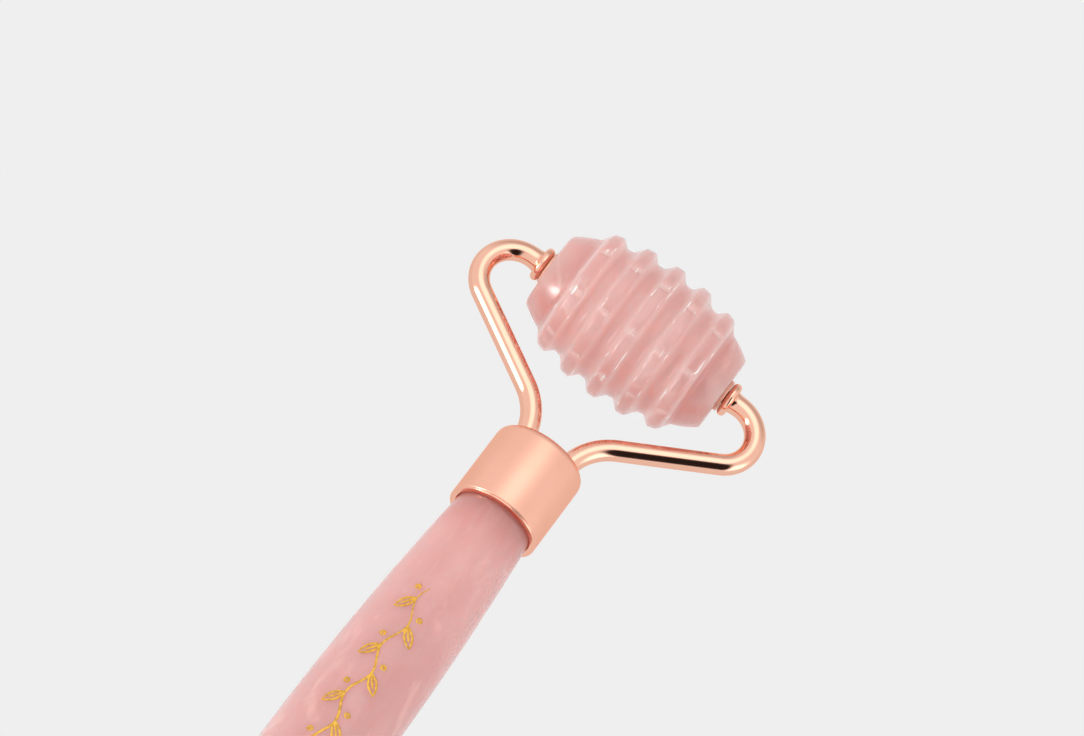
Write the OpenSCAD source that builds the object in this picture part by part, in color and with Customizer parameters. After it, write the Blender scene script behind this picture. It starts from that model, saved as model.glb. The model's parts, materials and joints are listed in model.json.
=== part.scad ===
// Double-ended facial massage roller: a stone handle with a wire yoke and a stone roller at each end.
// X runs along the roller axles, Y along the handle towards the large roller, Z out of the yokes' plane.
// The origin is the middle of the whole tool.

/* [Handle] */
// Length of stone seen between the two ferrules
handle_len = 96; // [84:1:110]
// Largest diameter, at the middle of the handle
handle_mid_d = 17.96; // [16:0.02:20]
// Diameter where the stone enters a ferrule
handle_end_d = 13.8; // [13:0.1:14]

/* [Ferrules] */
// Outer diameter of a ferrule
ferrule_d = 16.16; // [15:0.02:17]
// Length of a ferrule
ferrule_len = 14.85; // [12:0.05:18]
// Thickness of a ferrule's wall
ferrule_wall = 0.8; // [0.6:0.1:1]
// Thickness of a ferrule's end
ferrule_end_t = 1.2; // [1:0.1:2]
// Rounding of a ferrule's closed edge
ferrule_round = 0.5; // [0.3:0.1:1]
// Rounding of a ferrule's rim
rim_round = 0.5; // [0.3:0.1:0.7]
// Depth of stone inside a ferrule
stone_depth = 7.5; // [6:0.1:8]
// Diameter of the stud between stone and plug
stud_d = 3.6; // [3:0.1:3.8]
// Length of the stud inside the stone
stud_in_stone = 18; // [10:1:24]
// Length of the stud inside the plug
stud_in_plug = 4.4; // [3:0.1:5]

/* [Large yoke] */
// Diameter of the wire
large_wire_d = 3.56; // [3:0.02:3.6]
// Height of the axle above the ferrule's rim
large_axle_h = 43.85; // [43.5:0.05:46]
// Distance from the middle to the centre of an outer loop
large_loop_x = 20.9; // [20.5:0.1:22]
// Radius of an outer loop's centre line
large_loop_r = 5.85; // [5:0.05:6]
// Radius of a knee's centre line
large_knee_r = 10.8; // [9:0.1:11]
// Slope of a straight stretch above the axle's direction, in degrees
large_slope = 31.8; // [31:0.1:33]
// Diameter of the flange at an arm's end
large_flange_d = 6.1; // [5.5:0.1:7]

/* [Small yoke] */
// Diameter of the wire
small_wire_d = 3.2; // [2.8:0.1:3.4]
// Height of the axle above the ferrule's rim
small_axle_h = 34.8; // [34.6:0.1:37]
// Distance from the middle to the centre of an outer loop
small_loop_x = 13.7; // [13.4:0.1:14.4]
// Radius of an outer loop's centre line
small_loop_r = 4.6; // [4.2:0.1:4.8]
// Radius of a knee's centre line
small_knee_r = 7; // [6:0.1:7.5]
// Slope of a straight stretch above the axle's direction, in degrees
small_slope = 32; // [31:0.5:33]
// Diameter of the flange at an arm's end
small_flange_d = 5.4; // [5:0.1:6]

/* [Large roller] */
// Length of the stone
large_roller_len = 35.1; // [34:0.1:35.2]
// Largest diameter, over the middle ring of teeth
large_roller_d = 25.62; // [24:0.02:26]
// Distance between rings of teeth
ring_pitch = 5.6; // [5.4:0.05:5.8]
// Width of a tooth's flat top
tooth_top_w = 1.4; // [1.2:0.1:2.2]
// Teeth in a ring
tooth_count = 8; // [6:1:10]
// Width of the notch between two teeth
notch_w = 2.2; // [1.6:0.1:2.6]
// Depth of the notch between two teeth
notch_depth = 0.5; // [0.3:0.1:1.1]
// Turn of the notches from straight up, towards the small roller, in degrees
notch_turn = 31; // [0:1:44]
// Diameter of a flat end face
large_end_d = 12.6; // [11:0.1:13]

/* [Small roller] */
// Length of the stone
small_roller_len = 21; // [20:0.1:21.2]
// Largest diameter, at the middle
small_roller_d = 17.2; // [15:0.1:18]
// Diameter beside the rounded ends
small_shoulder_d = 14.6; // [13:0.1:15]

/* [Bearings] */
// Diameter of the pin at an arm's end
pin_d = 2.4; // [2:0.1:2.6]
// Length of the pin beyond its flange
pin_len = 6.6; // [5:0.1:7]
// Outer diameter of a bush's sleeve
bush_d = 4; // [3.6:0.1:4.4]
// Length of a bush's sleeve
bush_len = 7.2; // [6:0.1:8]
// Diameter of a bush's flange
bush_flange_d = 5.7; // [5:0.1:5.8]
// Thickness of a bush's flange
bush_flange_t = 0.55; // [0.3:0.05:0.6]
// Gap between pin and bush, all round
running_gap = 0.05; // [0.02:0.01:0.08]

/* [Hidden] */
$fn = 64;

LARGE = 0;
SMALL = 1;
LEFT = -1;
RIGHT = 1;

rose_quartz = [0.90, 0.72, 0.69];
satin_gold = [0.80, 0.56, 0.47];
polished_gold = [0.86, 0.58, 0.47];
bright_steel = [0.75, 0.75, 0.77];
pale_nylon = [0.90, 0.70, 0.62];

// Sizes that differ between the two ends, large first
wire_d = [large_wire_d, small_wire_d];
axle_h = [large_axle_h, small_axle_h];
loop_x = [large_loop_x, small_loop_x];
loop_r = [large_loop_r, small_loop_r];
knee_r = [large_knee_r, small_knee_r];
slope = [large_slope, small_slope];
flange_d = [large_flange_d, small_flange_d];
roller_len = [large_roller_len, small_roller_len];

glue_gap = 0.05;
flange_t = 1.5;
thrust_gap = 0.1;
arm_root_x = 4.1;
arm_root_y = 8.8;
spigot_d = 1.8;
spigot_len = 1.6;
// A wire's straight stretches are a hair thinner than its bends and run a little way into them
seam_step = 0.02;
seam_lap = 0.25;
// The rim turns in to meet the stone over this depth
rim_depth = 1.2;
ferrule_bore_d = ferrule_d - 2 * ferrule_wall;
plug_top_y = ferrule_len - ferrule_end_t;
// Inner face of a metal flange, measured from the middle of its roller
flange_x = [for (e = [LARGE, SMALL]) roller_len[e] / 2 + bush_flange_t + thrust_gap];

// The tool's ends, from the middle of the handle, give the place of the origin
large_reach = handle_len / 2 + large_axle_h + large_roller_d / 2;
small_reach = handle_len / 2 + small_axle_h + small_roller_d / 2;
handle_mid_y = (small_reach - large_reach) / 2;

// Handle outline: a parabola that is flat at the middle
handle_steps = 32;
handle_edge = 0.4;
function handle_r(y) =
    handle_mid_d / 2 - (handle_mid_d - handle_end_d) / 2 * pow(y / (handle_len / 2), 2);

// Large roller outline: an arch over the tops of the teeth, valleys between them, and plain ends
ring_steps = [-2, -1, 0, 1, 2];
arch_drop = 0.0122;
valley_depth = 1.6;
valley_w = 1.3;
band_x = 13.6;
band_r = 8.9;
corner_x = 16.7;
corner_r = 7.2;
function tooth_top_r(x) = large_roller_d / 2 - arch_drop * x * x;
function half_outline() = [
    for (k = [0:2])
        let (x = k * ring_pitch, top = tooth_top_w / 2, floor_x = x + ring_pitch / 2)
        each concat(
            k == 0 ? [] : [[x - top - 0.35, tooth_top_r(x - top) - 0.25], [x - top, tooth_top_r(x - top)]],
            [[x + top, tooth_top_r(x + top)], [x + top + 0.35, tooth_top_r(x + top) - 0.25]],
            k == 2 ? [] : [
                [floor_x - valley_w / 2, tooth_top_r(floor_x) - valley_depth + 0.1],
                [floor_x, tooth_top_r(floor_x) - valley_depth],
                [floor_x + valley_w / 2, tooth_top_r(floor_x) - valley_depth - 0.1]
            ]
        ),
    [band_x, band_r],
    [15.2, 8.2],
    [corner_x, corner_r],
    [large_roller_len / 2, large_end_d / 2]
];

// Turns a shape made along +Z to lie along +X or +Y
module along_x() {
    rotate([0, 90, 0]) children();
}

module along_y() {
    rotate([-90, 0, 0]) children();
}

// Places a shape made above the rim of its ferrule at the large or the small end
module at_end(e) {
    translate([0, handle_mid_y, 0])
        mirror([0, e == SMALL ? 1 : 0, 0])
            translate([0, handle_len / 2, 0])
                children();
}

// Places a shape made for the right-hand side on either side
module at_side(side) {
    mirror([side == LEFT ? 1 : 0, 0, 0]) children();
}

// Places a shape made about the middle of a roller
module at_axle(e) {
    at_end(e) translate([0, axle_h[e], 0]) children();
}

module handle_stone() {
    tip_y = handle_len / 2 + stone_depth;
    tip_r = handle_end_d / 2;
    stud_hole_y = handle_len / 2 - stud_in_stone + stone_depth;
    color(rose_quartz)
        translate([0, handle_mid_y, 0])
            difference() {
                along_y()
                    rotate_extrude()
                        polygon([
                            [0, -tip_y],
                            [tip_r - handle_edge, -tip_y],
                            [tip_r, -tip_y + handle_edge],
                            for (k = [0:handle_steps])
                                let (y = (k / handle_steps - 0.5) * handle_len)
                                [handle_r(y), y],
                            [tip_r, tip_y - handle_edge],
                            [tip_r - handle_edge, tip_y],
                            [0, tip_y]
                        ]);
                for (turn = [0, 180])
                    rotate([0, 0, turn])
                        translate([0, stud_hole_y, 0])
                            along_y()
                                cylinder(h = stud_in_stone + 1, d = stud_d + 2 * glue_gap);
            }
}

module ferrule(e) {
    outer_r = ferrule_d / 2;
    color(satin_gold)
        at_end(e)
            difference() {
                along_y()
                    rotate_extrude()
                        difference() {
                            union() {
                                translate([0, rim_round])
                                    square([outer_r, ferrule_len - ferrule_round - rim_round]);
                                square([outer_r - max(ferrule_round, rim_round), ferrule_len]);
                                translate([outer_r - ferrule_round, ferrule_len - ferrule_round])
                                    circle(r = ferrule_round);
                                translate([outer_r - rim_round, rim_round])
                                    circle(r = rim_round);
                            }
                            translate([0, -1])
                                square([handle_end_d / 2 + glue_gap, rim_depth + 2]);
                            translate([0, rim_depth])
                                square([ferrule_bore_d / 2, plug_top_y - rim_depth]);
                        }
                for (side = [LEFT, RIGHT])
                    translate([side * arm_root_x, plug_top_y - 1, 0])
                        along_y()
                            cylinder(h = ferrule_end_t + 2, d = wire_d[e] + 2 * glue_gap);
            }
}

module yoke_plug(e) {
    color(bright_steel)
        at_end(e)
            difference() {
                translate([0, stone_depth, 0])
                    along_y()
                        cylinder(h = plug_top_y - stone_depth, d = ferrule_bore_d - 2 * glue_gap);
                translate([0, stone_depth - 1, 0])
                    along_y()
                        cylinder(h = stud_in_plug + 1, d = stud_d + 2 * glue_gap);
                for (side = [LEFT, RIGHT])
                    translate([side * arm_root_x, arm_root_y, 0])
                        along_y()
                            cylinder(h = plug_top_y - arm_root_y + 1, d = wire_d[e] + 2 * glue_gap);
            }
}

module stud(e) {
    color(bright_steel)
        at_end(e)
            translate([0, stone_depth - stud_in_stone, 0])
                along_y()
                    cylinder(h = stud_in_stone + stud_in_plug, d = stud_d);
}

// A wire bent in the XY plane: straight root, knee, straight rise, outer loop and straight tip
module arm(e, side) {
    wire_r = wire_d[e] / 2;
    tip_x = flange_x[e] + flange_t;
    loop_y = axle_h[e] - loop_r[e];
    rise = [cos(slope[e]), sin(slope[e])];
    loop_foot = [loop_x[e] + loop_r[e] * rise[1], loop_y - loop_r[e] * rise[0]];
    knee_x = arm_root_x + knee_r[e];
    knee_top_x = knee_x - knee_r[e] * rise[1];
    rise_len = (loop_foot[0] - knee_top_x) / rise[0];
    knee_top_y = loop_foot[1] - rise_len * rise[1];
    knee_y = knee_top_y - knee_r[e] * rise[0];
    color(polished_gold)
        at_end(e)
            at_side(side)
                difference() {
                    union() {
                        translate([arm_root_x, arm_root_y, 0])
                            along_y() cylinder(h = knee_y - arm_root_y + seam_lap, r = wire_r - seam_step);
                        translate([knee_x, knee_y, 0])
                            rotate([0, 0, 90 + slope[e]])
                                rotate_extrude(angle = 90 - slope[e])
                                    translate([knee_r[e], 0]) circle(r = wire_r);
                        translate([knee_top_x, knee_top_y, 0])
                            rotate([0, 0, slope[e]])
                                translate([-seam_lap, 0, 0])
                                    along_x() cylinder(h = rise_len + 2 * seam_lap, r = wire_r - seam_step);
                        translate([loop_x[e], loop_y, 0])
                            rotate([0, 0, slope[e] - 90])
                                rotate_extrude(angle = 180 - slope[e])
                                    translate([loop_r[e], 0]) circle(r = wire_r);
                        translate([tip_x, axle_h[e], 0])
                            along_x() cylinder(h = loop_x[e] - tip_x + seam_lap, r = wire_r - seam_step);
                    }
                    translate([tip_x - 1, axle_h[e], 0])
                        along_x() cylinder(h = spigot_len + 1, d = spigot_d + 2 * glue_gap);
                }
}

// Round-edged flange with a pin that carries the roller and a spigot held in the arm
module axle(e, side) {
    rim_r = flange_t / 2;
    color(polished_gold)
        at_axle(e)
            at_side(side)
                translate([flange_x[e], 0, 0])
                    along_x()
                        rotate_extrude()
                            union() {
                                square([flange_d[e] / 2 - rim_r, flange_t]);
                                translate([flange_d[e] / 2 - rim_r, rim_r]) circle(r = rim_r);
                                translate([0, -pin_len]) square([pin_d / 2, pin_len + 0.2]);
                                square([spigot_d / 2, flange_t + spigot_len]);
                            }
}

// Flanged sleeve pressed into one end of a roller
module bush(e, side) {
    color(pale_nylon)
        at_axle(e)
            at_side(side)
                translate([roller_len[e] / 2, 0, 0])
                    along_x()
                        difference() {
                            union() {
                                translate([0, 0, -bush_len]) cylinder(h = bush_len + 0.2, d = bush_d);
                                cylinder(h = bush_flange_t, d = bush_flange_d);
                            }
                            translate([0, 0, -bush_len - 1])
                                cylinder(h = bush_len + 3, d = pin_d + 2 * running_gap);
                        }
}

module axle_hole(length) {
    translate([-length / 2 - 1, 0, 0])
        along_x() cylinder(h = length + 2, d = bush_d + 2 * glue_gap);
}

module large_roller_stone() {
    half = half_outline();
    last = len(half) - 1;
    notch_r = (notch_w * notch_w / 4 + notch_depth * notch_depth) / (2 * notch_depth);
    notch_len = tooth_top_w + 2.6;
    color(rose_quartz)
        at_axle(LARGE)
            difference() {
                along_x()
                    rotate_extrude()
                        polygon([
                            [0, -half[last][0]],
                            for (k = [last:-1:0]) [half[k][1], -half[k][0]],
                            for (p = half) [p[1], p[0]],
                            [0, half[last][0]]
                        ]);
                for (ring = ring_steps)
                    for (tooth = [0:tooth_count - 1])
                        rotate([notch_turn + tooth * 360 / tooth_count, 0, 0])
                            translate([
                                ring * ring_pitch - notch_len / 2,
                                0,
                                tooth_top_r(ring * ring_pitch) - notch_depth + notch_r
                            ])
                                along_x() cylinder(h = notch_len, r = notch_r);
                axle_hole(large_roller_len);
            }
}

module small_roller_stone() {
    half = small_roller_len / 2;
    round_r = 2;
    steps = 12;
    shoulder = half - round_r;
    swell = (small_roller_d - small_shoulder_d) / 2;
    color(rose_quartz)
        at_axle(SMALL)
            difference() {
                along_x()
                    rotate_extrude()
                        polygon([
                            [0, -half],
                            for (k = [0:4])
                                [small_shoulder_d / 2 - round_r + round_r * sin(k * 18),
                                    -shoulder - round_r * cos(k * 18)],
                            for (k = [0:steps])
                                let (x = (2 * k / steps - 1) * shoulder)
                                [small_roller_d / 2 - swell * pow(x / shoulder, 2), x],
                            for (k = [4:-1:0])
                                [small_shoulder_d / 2 - round_r + round_r * sin(k * 18),
                                    shoulder + round_r * cos(k * 18)],
                            [0, half]
                        ]);
                axle_hole(small_roller_len);
            }
}

handle_stone();
ferrule(LARGE);  // large_ferrule
yoke_plug(LARGE);  // large_yoke_plug
stud(LARGE);  // large_stud
arm(LARGE, LEFT);  // large_arm_left
arm(LARGE, RIGHT);  // large_arm_right
axle(LARGE, LEFT);  // large_axle_left
axle(LARGE, RIGHT);  // large_axle_right
bush(LARGE, LEFT);  // large_bush_left
bush(LARGE, RIGHT);  // large_bush_right
large_roller_stone();
ferrule(SMALL);  // small_ferrule
yoke_plug(SMALL);  // small_yoke_plug
stud(SMALL);  // small_stud
arm(SMALL, LEFT);  // small_arm_left
arm(SMALL, RIGHT);  // small_arm_right
axle(SMALL, LEFT);  // small_axle_left
axle(SMALL, RIGHT);  // small_axle_right
bush(SMALL, LEFT);  // small_bush_left
bush(SMALL, RIGHT);  // small_bush_right
small_roller_stone();
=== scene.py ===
"""Stone face roller: smooth meshes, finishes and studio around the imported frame.

X runs along the roller axles, Y along the handle towards the large roller, and Z out of the
plane of the yokes. Lengths are metres, in the frame's own axes.
"""

import json
import logging
import math
from dataclasses import dataclass, field
from enum import Enum

import bpy
import numpy as np
from mathutils import Matrix, Vector


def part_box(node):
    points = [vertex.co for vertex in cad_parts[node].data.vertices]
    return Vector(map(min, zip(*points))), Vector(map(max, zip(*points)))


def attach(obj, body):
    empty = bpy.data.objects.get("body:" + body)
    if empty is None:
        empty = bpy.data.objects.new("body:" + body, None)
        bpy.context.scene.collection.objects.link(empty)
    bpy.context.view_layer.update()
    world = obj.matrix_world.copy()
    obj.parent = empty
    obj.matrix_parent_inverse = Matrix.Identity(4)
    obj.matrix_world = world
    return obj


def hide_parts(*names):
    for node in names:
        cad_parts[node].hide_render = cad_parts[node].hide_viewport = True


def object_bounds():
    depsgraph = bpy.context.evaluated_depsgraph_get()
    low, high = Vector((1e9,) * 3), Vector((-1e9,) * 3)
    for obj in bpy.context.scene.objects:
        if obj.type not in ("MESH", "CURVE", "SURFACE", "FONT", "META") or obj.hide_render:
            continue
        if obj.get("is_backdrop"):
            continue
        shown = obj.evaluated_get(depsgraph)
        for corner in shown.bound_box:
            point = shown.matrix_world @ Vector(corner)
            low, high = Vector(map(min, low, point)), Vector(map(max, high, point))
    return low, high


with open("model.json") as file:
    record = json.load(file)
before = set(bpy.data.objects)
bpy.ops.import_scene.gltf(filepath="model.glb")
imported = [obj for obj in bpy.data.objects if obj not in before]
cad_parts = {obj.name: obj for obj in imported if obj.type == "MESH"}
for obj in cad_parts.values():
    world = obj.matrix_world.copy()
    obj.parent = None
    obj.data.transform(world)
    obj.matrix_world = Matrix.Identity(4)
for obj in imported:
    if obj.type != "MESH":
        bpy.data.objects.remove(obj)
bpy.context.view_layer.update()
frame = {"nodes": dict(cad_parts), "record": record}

log = logging.getLogger("face_roller")
BODIES: dict[str, list[str]] = frame["record"]["behaviour"]["bodies"]
MM = 0.001
Triple = tuple[float, float, float]
Colour = Triple
Range = tuple[float, float]
Inputs = dict[str | int, object]


class End(Enum):
    """The two ends of the tool, with the sign of the way each points along Y."""

    LARGE = 1
    SMALL = -1

    def node(self, part: str) -> str:
        """The CAD node of a part at this end."""
        return f"{self.name.lower()}_{part}"


class Side(Enum):
    """The two arms of a yoke, with the sign of the way each leans along X."""

    LEFT = -1
    RIGHT = 1

    def of(self, part: str) -> str:
        """The part on this side, as node names have it."""
        return f"{part}_{self.name.lower()}"


# ---------------------------------------------------------------- shader expressions


class Socket:
    """A node's output that can stand in arithmetic, where each operator adds a Math node."""

    def __init__(self, shader: "Shader", link: bpy.types.NodeSocket | None) -> None:
        """Wraps an output.

        Args:
            shader: The node tree that the output is in.
            link: The output itself, or None for a node that has none.
        """
        self.shader = shader
        self.link = link

    def __add__(self, other: "Socket | float") -> "Socket":
        """self + other."""
        return self.shader.maths("ADD", self, other)

    def __sub__(self, other: "Socket | float") -> "Socket":
        """self - other."""
        return self.shader.maths("SUBTRACT", self, other)

    def __rsub__(self, other: float) -> "Socket":
        """other - self."""
        return self.shader.maths("SUBTRACT", other, self)

    def __mul__(self, other: "Socket | float") -> "Socket":
        """self * other."""
        return self.shader.maths("MULTIPLY", self, other)

    __radd__ = __add__
    __rmul__ = __mul__


class Shader:
    """A node tree that is filled by expressions."""

    def __init__(self, tree: bpy.types.NodeTree) -> None:
        """Empties a tree.

        Args:
            tree: The node tree to fill.
        """
        self.tree = tree
        tree.nodes.clear()

    def node(
        self,
        kind: str,
        settings: dict[str, object] | None = None,
        inputs: Inputs | None = None,
        output: str | int = 0,
    ) -> Socket:
        """Adds a node.

        Args:
            kind: The node's type.
            settings: Its own settings.
            inputs: A value or a Socket for each input, by name or number.
            output: The output to hand back, by name or number.

        Returns:
            The chosen output.
        """
        made = self.tree.nodes.new(kind)
        for name, value in (settings or {}).items():
            setattr(made, name, value)
        for name, value in (inputs or {}).items():
            if isinstance(value, Socket):
                self.tree.links.new(value.link, made.inputs[name])
            else:
                made.inputs[name].default_value = value
        return Socket(self, made.outputs[output] if len(made.outputs) else None)

    def maths(self, operation: str, *values: "Socket | float") -> Socket:
        """Adds a Math node.

        Args:
            operation: Which sum it does.
            values: Its inputs, in order.

        Returns:
            The result.
        """
        return self.node("ShaderNodeMath", {"operation": operation}, dict(enumerate(values)))

    def smooth(self, value: Socket, low: float, high: float) -> Socket:
        """Runs from 0 where value is low to 1 where it is high, with soft ends."""
        return self.node(
            "ShaderNodeMapRange",
            {"interpolation_type": "SMOOTHSTEP"},
            {"Value": value, "From Min": low, "From Max": high},
        )

    def blend(self, share: "Socket | float", first: object, second: object) -> Socket:
        """Mixes two colours.

        Args:
            share: How much of the second there is.
            first: A colour or a Socket.
            second: A colour or a Socket.

        Returns:
            The mixed colour.
        """
        pair = {6: first, 7: second}
        ready = {k: v if isinstance(v, Socket) else (*v, 1.0) for k, v in pair.items()}
        settings = {"data_type": "RGBA"}
        return self.node("ShaderNodeMix", settings, {"Factor": share, **ready}, output=2)

    def noise(self, where: Socket, scale: float, detail: float = 3.0, warp: float = 0.0) -> Socket:
        """Soft random values from 0 to 1.

        Args:
            where: The place to read them at.
            scale: Lumps per metre.
            detail: How many finer layers there are.
            warp: How far the lumps are smeared into each other.

        Returns:
            The value at that place.
        """
        inputs = {"Vector": where, "Scale": scale, "Detail": detail, "Distortion": warp}
        return self.node("ShaderNodeTexNoise", None, inputs)

    def place(self, stretch: Triple = (1.0, 1.0, 1.0), turn: Triple = (0.0, 0.0, 0.0)) -> Socket:
        """The place on the object, stretched and turned."""
        at = self.node("ShaderNodeTexCoord", output="Object")
        inputs = {"Vector": at, "Scale": stretch, "Rotation": turn}
        return self.node("ShaderNodeMapping", None, inputs)

    def attribute(self, name: str) -> Socket:
        """A number kept at each of the mesh's points."""
        return self.node("ShaderNodeAttribute", {"attribute_name": name}, output="Fac")

    def bump(self, strength: float, reach: float, height: Socket) -> Socket:
        """Tilts the surface to follow a height.

        Args:
            strength: How much of the tilt is kept.
            reach: How far a height of 1 stands out.
            height: The height.

        Returns:
            The tilted normal.
        """
        inputs = {"Strength": strength, "Distance": reach, "Height": height}
        return self.node("ShaderNodeBump", None, inputs)


# ---------------------------------------------------------------- finishes


class Finish:
    """A material that ends in one Principled shader."""

    name: str

    def inputs(self, shader: Shader) -> Inputs:
        """The Principled shader's inputs.

        Args:
            shader: The material's tree.

        Returns:
            A value or a Socket for each input, by name.
        """
        raise NotImplementedError

    def make(self) -> bpy.types.Material:
        """Builds the material.

        Returns:
            The material.
        """
        material = bpy.data.materials.new(self.name)
        material.use_nodes = True
        shader = Shader(material.node_tree)
        surface = shader.node("ShaderNodeBsdfPrincipled", None, self.inputs(shader))
        shader.node("ShaderNodeOutputMaterial", None, {"Surface": surface})
        return material


@dataclass(frozen=True)
class RoseQuartz(Finish):
    """Polished rose quartz: cloudy pale pink with milky veils, pale streaks and warm stains.

    A mesh can have two numbers at its points. "hollow" is how deep a point is between two rings,
    where painted light lifts the valleys and the streaks along the brinks are painted brighter as
    highlights and glints, and "cut" is how far it was ground away. With a shade span, painted
    shade darkens the stone towards both ends of it.
    """

    name: str = "rose_quartz"
    body: Colour = (0.62, 0.305, 0.285)
    milk: Colour = (0.655, 0.345, 0.325)
    stain: Colour = (0.66, 0.31, 0.255)
    # shade: the colour of the painted shade beside the ferrules
    shade: Colour = (0.57, 0.18, 0.158)
    # clear: painted light, the lighter colour that lifts the valleys between the rings
    clear: Colour = (0.73, 0.465, 0.445)
    # pale: the milky veils' colour, also painted on the streaks as sheen along the ring brinks
    pale: Colour = (0.82, 0.55, 0.52)
    # glint_and_wear: painted glints on the brinks, and the pale grinding marks at the notches
    glint_and_wear: Colour = (0.97, 0.86, 0.84)
    cloud_stretch: Triple = (1.0, 0.42, 1.0)
    cloud_turn: Triple = (0.25, 0.35, 0.2)
    stain_turn: Triple = (0.9, 0.1, 0.6)
    streak_stretch: Triple = (1.0, 0.1, 0.1)
    cloud_scale: float = 95.0
    veil_scale: float = 240.0
    stain_scale: float = 70.0
    streak_scale: float = 2300.0
    lattice_scale: float = 3300.0
    cloud_range: Range = (0.40, 0.68)
    stain_range: Range = (0.54, 0.76)
    veil_range: Range = (0.52, 0.74)
    streak_range: Range = (0.54, 0.72)
    glint_range: Range = (0.62, 0.67)
    worn_range: Range = (0.24, 0.46)
    valley_light_range: Range = (0.0, 0.42)
    brink_rise: Range = (0.02, 0.14)
    brink_fall: Range = (0.22, 0.6)
    stain_share: float = 0.5
    veil_share: float = 0.36
    shade_share: float = 0.85
    valley_light_share: float = 0.95
    worn_share: float = 0.14
    streak_base: float = 0.06
    sheen_gain: float = 0.5
    shade_span: Range | None = None
    shade_range: Range = (-1.0 * MM, 11.0 * MM)
    shade_wander: float = 8.0 * MM
    depth: float = 28.0 * MM
    roughness: float = 0.2

    def shaded(self, shader: Shader, colour: Socket, clouds: Socket) -> Socket:
        """Paints shade on the stone towards both ends of its span along Y, beside the ferrules.

        Args:
            shader: The material's tree.
            colour: The stone's colour so far.
            clouds: The noise that makes the shade's edge wander.

        Returns:
            The darkened colour.
        """
        along = shader.node("ShaderNodeSeparateXYZ", None, {0: shader.place()}, output="Y")
        low, high = self.shade_span
        near = shader.maths("MINIMUM", along - low, high - along)
        wander = (clouds - 0.5) * self.shade_wander
        dark = 1 - shader.smooth(near + wander, *self.shade_range)
        return shader.blend(dark * self.shade_share, colour, self.shade)

    def inputs(self, shader: Shader) -> Inputs:
        """The Principled shader's inputs."""
        grain = (self.cloud_stretch, self.cloud_turn)
        clouds = shader.noise(shader.place(*grain), self.cloud_scale, 4.0, 0.6)
        veils = shader.noise(shader.place(*grain), self.veil_scale, 4.0, 0.9)
        stains = shader.noise(shader.place(turn=self.stain_turn), self.stain_scale, 2.0, 0.3)
        colour = shader.blend(shader.smooth(clouds, *self.cloud_range), self.body, self.milk)
        stained = shader.smooth(stains, *self.stain_range) * self.stain_share
        colour = shader.blend(stained, colour, self.stain)
        veiled = shader.smooth(veils, *self.veil_range) * self.veil_share
        colour = shader.blend(veiled, colour, self.pale)
        # painted shade beside the ferrules
        if self.shade_span is not None:
            colour = self.shaded(shader, colour, clouds)
        hollow = shader.attribute("hollow")
        rise = shader.smooth(hollow, *self.brink_rise)
        brink = rise * (1 - shader.smooth(hollow, *self.brink_fall))
        streaks = shader.noise(shader.place(self.streak_stretch), self.streak_scale, 3.0, 0.5)
        # painted light: the valleys are lifted towards a lighter colour
        valley_lifted = shader.smooth(hollow, *self.valley_light_range) * self.valley_light_share
        colour = shader.blend(valley_lifted, colour, self.clear)
        # pale streaks: faint everywhere, and painted brighter along the brinks as a highlight
        pale_share = self.streak_base + brink * self.sheen_gain
        streaked = shader.smooth(streaks, *self.streak_range) * pale_share
        colour = shader.blend(streaked, colour, self.pale)
        # painted glints along the ring brinks
        shining = shader.smooth(streaks, *self.glint_range) * brink
        colour = shader.blend(shining, colour, self.glint_and_wear)
        cut = shader.attribute("cut")
        pits = {"Vector": shader.place(), "Scale": self.lattice_scale, "Randomness": 0.35}
        lattice = shader.node("ShaderNodeTexVoronoi", None, pits)
        worn = shader.smooth(lattice * cut, *self.worn_range)
        colour = shader.blend(worn * self.worn_share, colour, self.glint_and_wear)
        return {
            "Base Color": colour,
            "Roughness": self.roughness + worn * 0.2 + clouds * 0.05,
            "IOR": 1.54,
            "Subsurface Weight": 1.0,
            "Subsurface Radius": (1.0, 0.5, 0.45),
            "Subsurface Scale": self.depth,
            "Coat Weight": 0.28,
            "Coat Roughness": 0.05,
            "Normal": shader.bump(0.25, 0.2 * MM, veils * 0.35 + lattice * cut * 0.8),
        }


@dataclass(frozen=True)
class RoseGold(Finish):
    """Rose gold plating, from mirror to satin, and brighter where a mesh's "rim" number is 1."""

    name: str = "polished_rose_gold"
    metal: Colour = (0.945, 0.535, 0.40)
    edge: Colour = (1.0, 0.80, 0.70)
    deepening: Triple = (0.96, 0.90, 0.86)
    slow_scale: float = 160.0
    fine_scale: float = 3800.0
    fine_stretch: Triple = (1.0, 0.25, 1.0)
    roughness: float = 0.09
    uneven: float = 0.02
    grain: float = 0.0
    rim_polish: float = 0.8

    def inputs(self, shader: Shader) -> Inputs:
        """The Principled shader's inputs."""
        slow = shader.noise(shader.place(), self.slow_scale, 2.0)
        fine = shader.noise(shader.place(self.fine_stretch), self.fine_scale, 2.0)
        deeper = tuple(c * s for c, s in zip(self.metal, self.deepening))
        buffed = 1 - shader.attribute("rim") * self.rim_polish
        rough = self.roughness + slow * self.uneven + fine * self.uneven * 0.5
        return {
            "Base Color": shader.blend(shader.smooth(slow, 0.35, 0.75) * 0.5, self.metal, deeper),
            "Metallic": 1.0,
            "Specular Tint": (*self.edge, 1.0),
            "Roughness": rough * buffed,
            "Normal": shader.bump(0.06, 0.1 * MM, slow * 0.4 + fine * self.grain),
        }


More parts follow.
